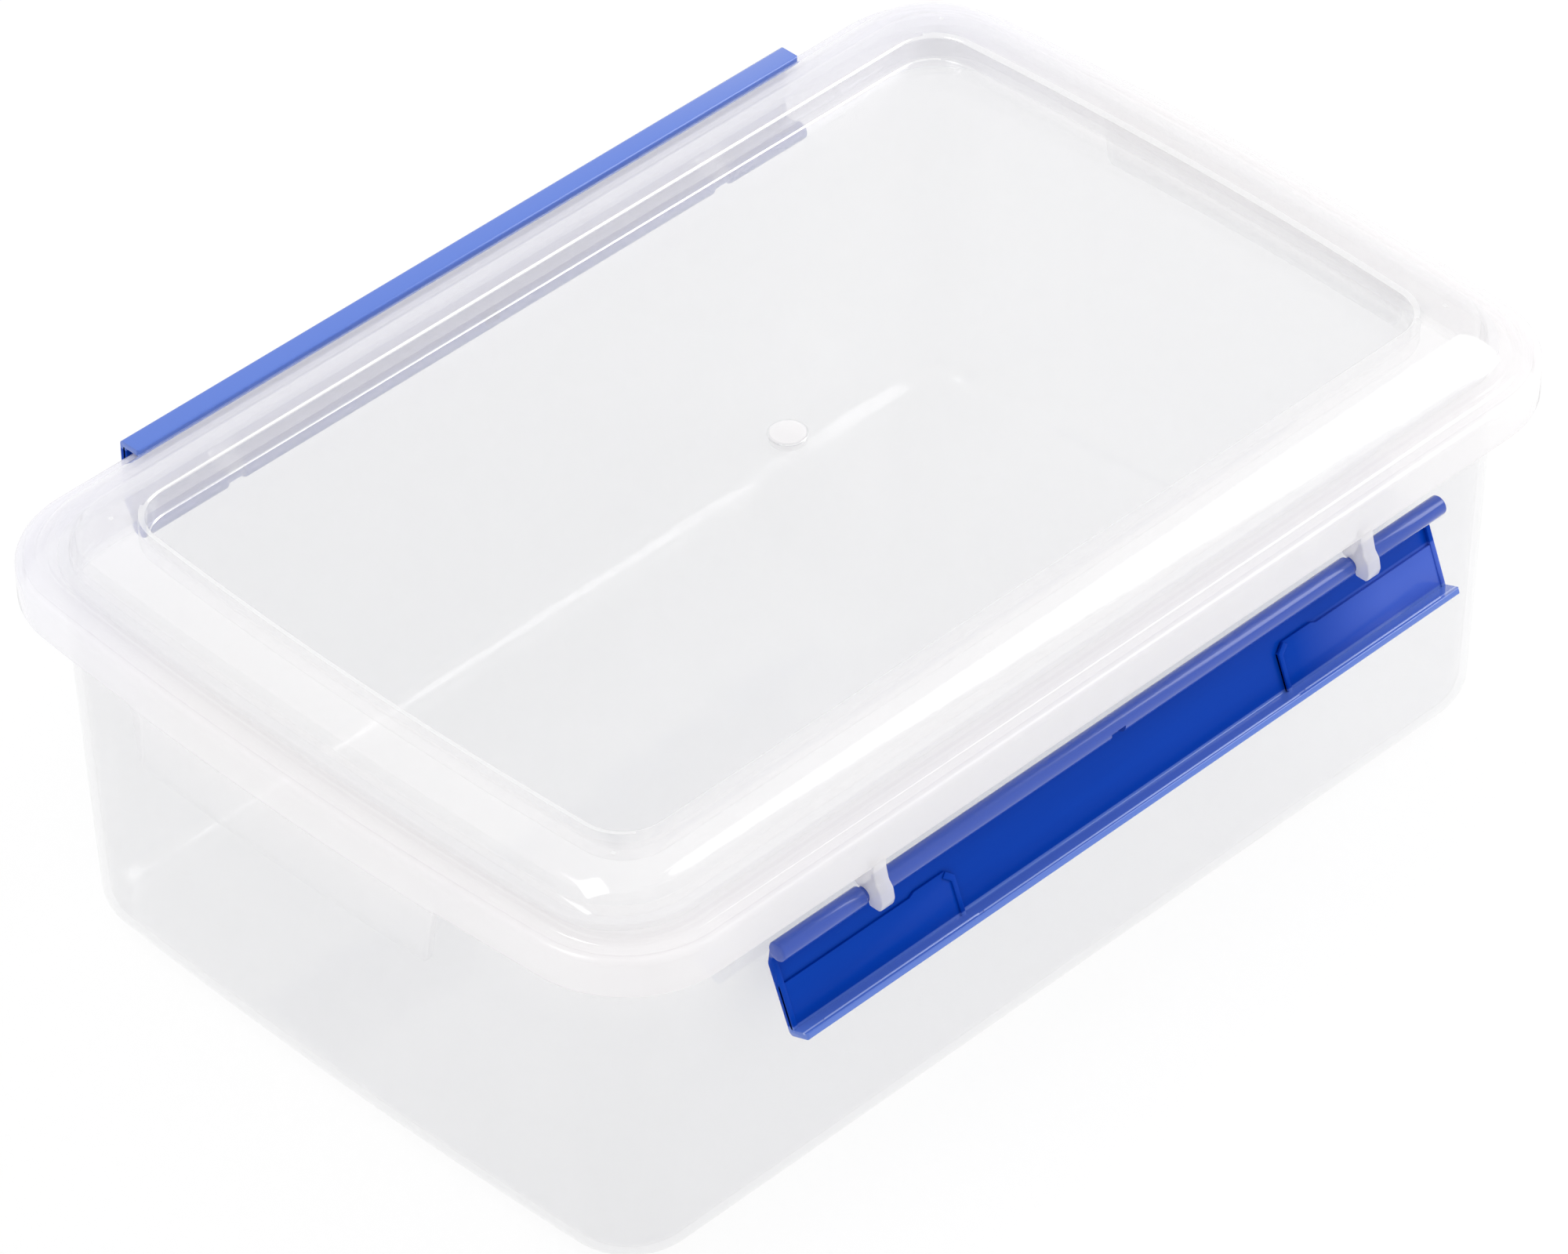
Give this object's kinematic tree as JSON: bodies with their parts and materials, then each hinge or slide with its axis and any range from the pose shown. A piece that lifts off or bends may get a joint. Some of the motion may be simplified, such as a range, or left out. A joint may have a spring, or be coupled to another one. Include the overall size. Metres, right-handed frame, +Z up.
{
  "type": "food storage container",
  "caption": "Rectangular clear food storage container with a domed lid, recessed lid panel and long hinged clips that lock over the lid's edge.",
  "frame": {"origin": "centre of the base's underside, on the surface that the container stands on", "axes": "+X along the clips and the container's length, +Y from the open front clip to the locked rear clip, +Z up"},
  "size_m": [0.3076, 0.2155, 0.1127],
  "materials": {
    "tub": "clear polypropylene, glossy and slightly hazy",
    "lid": "clear polypropylene, glossy, with a faint moulded haze",
    "seal": "clear silicone, satin",
    "clip": "translucent royal blue polypropylene, glossy"
  },
  "bodies": {
    "container": {"tub": "tub", "lid": "lid", "seal": "seal"},
    "front_clip": {"front_clip": "clip"},
    "rear_clip": {"rear_clip": "clip"}
  },
  "joints": [
    {"name": "front_clip_hinge", "type": "hinge", "parent": "container", "child": "front_clip", "pos_m": [0, -0.1006, 0.0825], "axis": [-1, 0, 0], "range_deg": [0, 158.8]},
    {"name": "rear_clip_hinge", "type": "hinge", "parent": "container", "child": "rear_clip", "pos_m": [0, 0.1006, 0.0825], "axis": [-1, 0, 0], "range_deg": [0, 158.8]}
  ]
}
